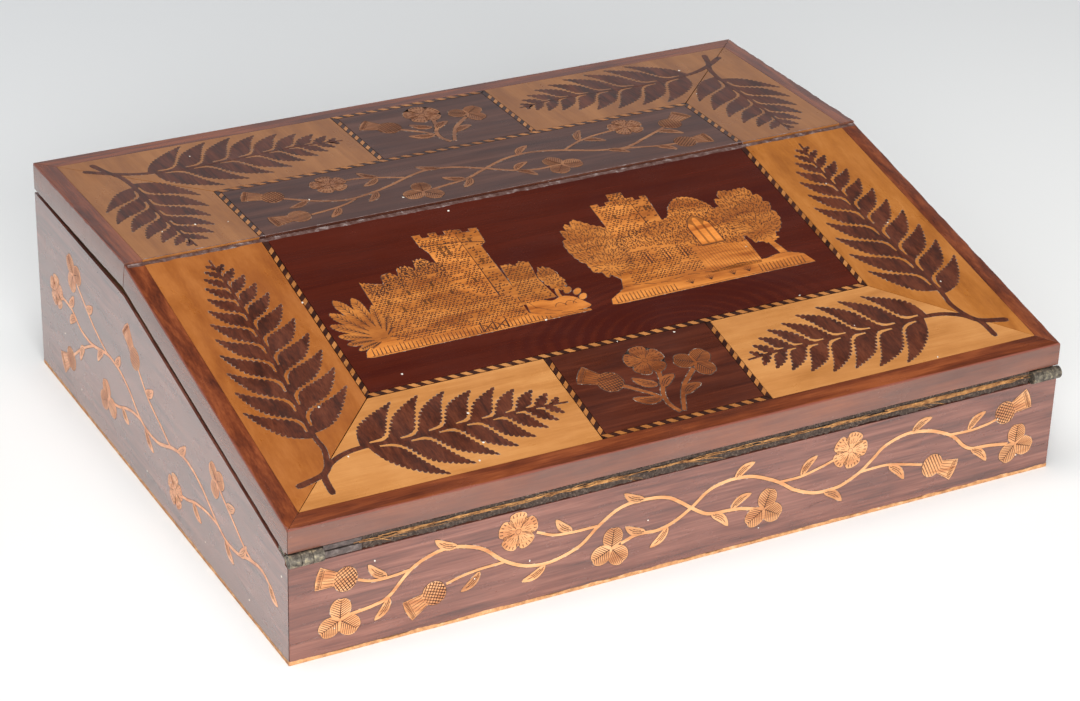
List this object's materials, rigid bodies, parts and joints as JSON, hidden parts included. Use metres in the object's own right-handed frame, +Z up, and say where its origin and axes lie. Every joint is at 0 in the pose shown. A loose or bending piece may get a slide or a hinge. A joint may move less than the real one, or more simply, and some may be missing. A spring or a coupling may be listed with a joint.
{
  "type": "writing box",
  "caption": "Wedge-shaped wooden table writing box with inlaid panels: a slope lid that folds out over its front edge, and a level lid hinged at the back.",
  "frame": {"origin": "on the table under the middle of the box", "axes": "+X to the right along the front edge, +Y to the back, +Z up"},
  "size_m": [0.38, 0.2988, 0.105],
  "materials": {
    "dark_yew": "old gloss varnish over purple-brown yew",
    "figured_yew": "old gloss varnish over deep red-brown figured yew",
    "red_yew": "gloss varnish over warm red-brown yew",
    "light_arbutus": "satin varnish over mottled orange-tan arbutus",
    "feather_stringing": "slanted light and dark blocks, varnished",
    "carcass_pine": "bare aged softwood",
    "worn_brass": "dull worn brass with grime",
    "torn_leather": "dry torn hide, dark skin and tan fibres"
  },
  "bodies": {
    "base": {"back_board": "carcass_pine", "back_left_hinge_base_leaf": "worn_brass", "back_left_hinge_pin": "worn_brass", "back_right_hinge_base_leaf": "worn_brass", "back_right_hinge_pin": "worn_brass", "back_veneer": "dark_yew", "bottom_board": "carcass_pine", "front_board": "carcass_pine", "front_left_hinge_base_leaf": "worn_brass", "front_left_hinge_pin": "worn_brass", "front_right_hinge_base_leaf": "worn_brass", "front_right_hinge_pin": "worn_brass", "front_veneer": "dark_yew", "leather_strip_lower": "torn_leather", "left_side": "carcass_pine", "left_veneer": "dark_yew", "right_side": "carcass_pine", "right_veneer": "dark_yew"},
    "slope_lid": {"front_left_hinge_lid_leaf": "worn_brass", "front_right_hinge_lid_leaf": "worn_brass", "leather_strip_upper": "torn_leather", "slope_board": "carcass_pine", "slope_centre_panel": "figured_yew", "slope_fern_front_left": "light_arbutus", "slope_fern_front_right": "light_arbutus", "slope_fern_left": "light_arbutus", "slope_fern_right": "light_arbutus", "slope_lipping_front": "red_yew", "slope_lipping_left": "red_yew", "slope_lipping_right": "red_yew", "slope_sprig_panel": "dark_yew", "slope_sprig_string_edge": "feather_stringing", "slope_sprig_string_left": "feather_stringing", "slope_sprig_string_right": "feather_stringing", "slope_string_cross": "feather_stringing", "slope_string_left": "feather_stringing", "slope_string_right": "feather_stringing"},
    "top_lid": {"back_left_hinge_lid_leaf": "worn_brass", "back_right_hinge_lid_leaf": "worn_brass", "top_board": "carcass_pine", "top_fern_back_left": "light_arbutus", "top_fern_back_right": "light_arbutus", "top_fern_left": "light_arbutus", "top_fern_right": "light_arbutus", "top_lipping_back": "red_yew", "top_lipping_left": "red_yew", "top_lipping_right": "red_yew", "top_sprig_panel": "dark_yew", "top_sprig_string_edge": "feather_stringing", "top_sprig_string_left": "feather_stringing", "top_sprig_string_right": "feather_stringing", "top_string_cross": "feather_stringing", "top_string_left": "feather_stringing", "top_string_right": "feather_stringing", "top_vine_panel": "dark_yew"}
  },
  "joints": [
    {"name": "slope_lid_hinge", "type": "hinge", "parent": "base", "child": "slope_lid", "pos_m": [0, -0.1465, 0.04987], "axis": [1, 0, 0], "range_deg": [0, 178]},
    {"name": "top_lid_hinge", "type": "hinge", "parent": "base", "child": "top_lid", "pos_m": [0, 0.1465, 0.09092], "axis": [-1, 0, 0], "range_deg": [0, 100]}
  ]
}
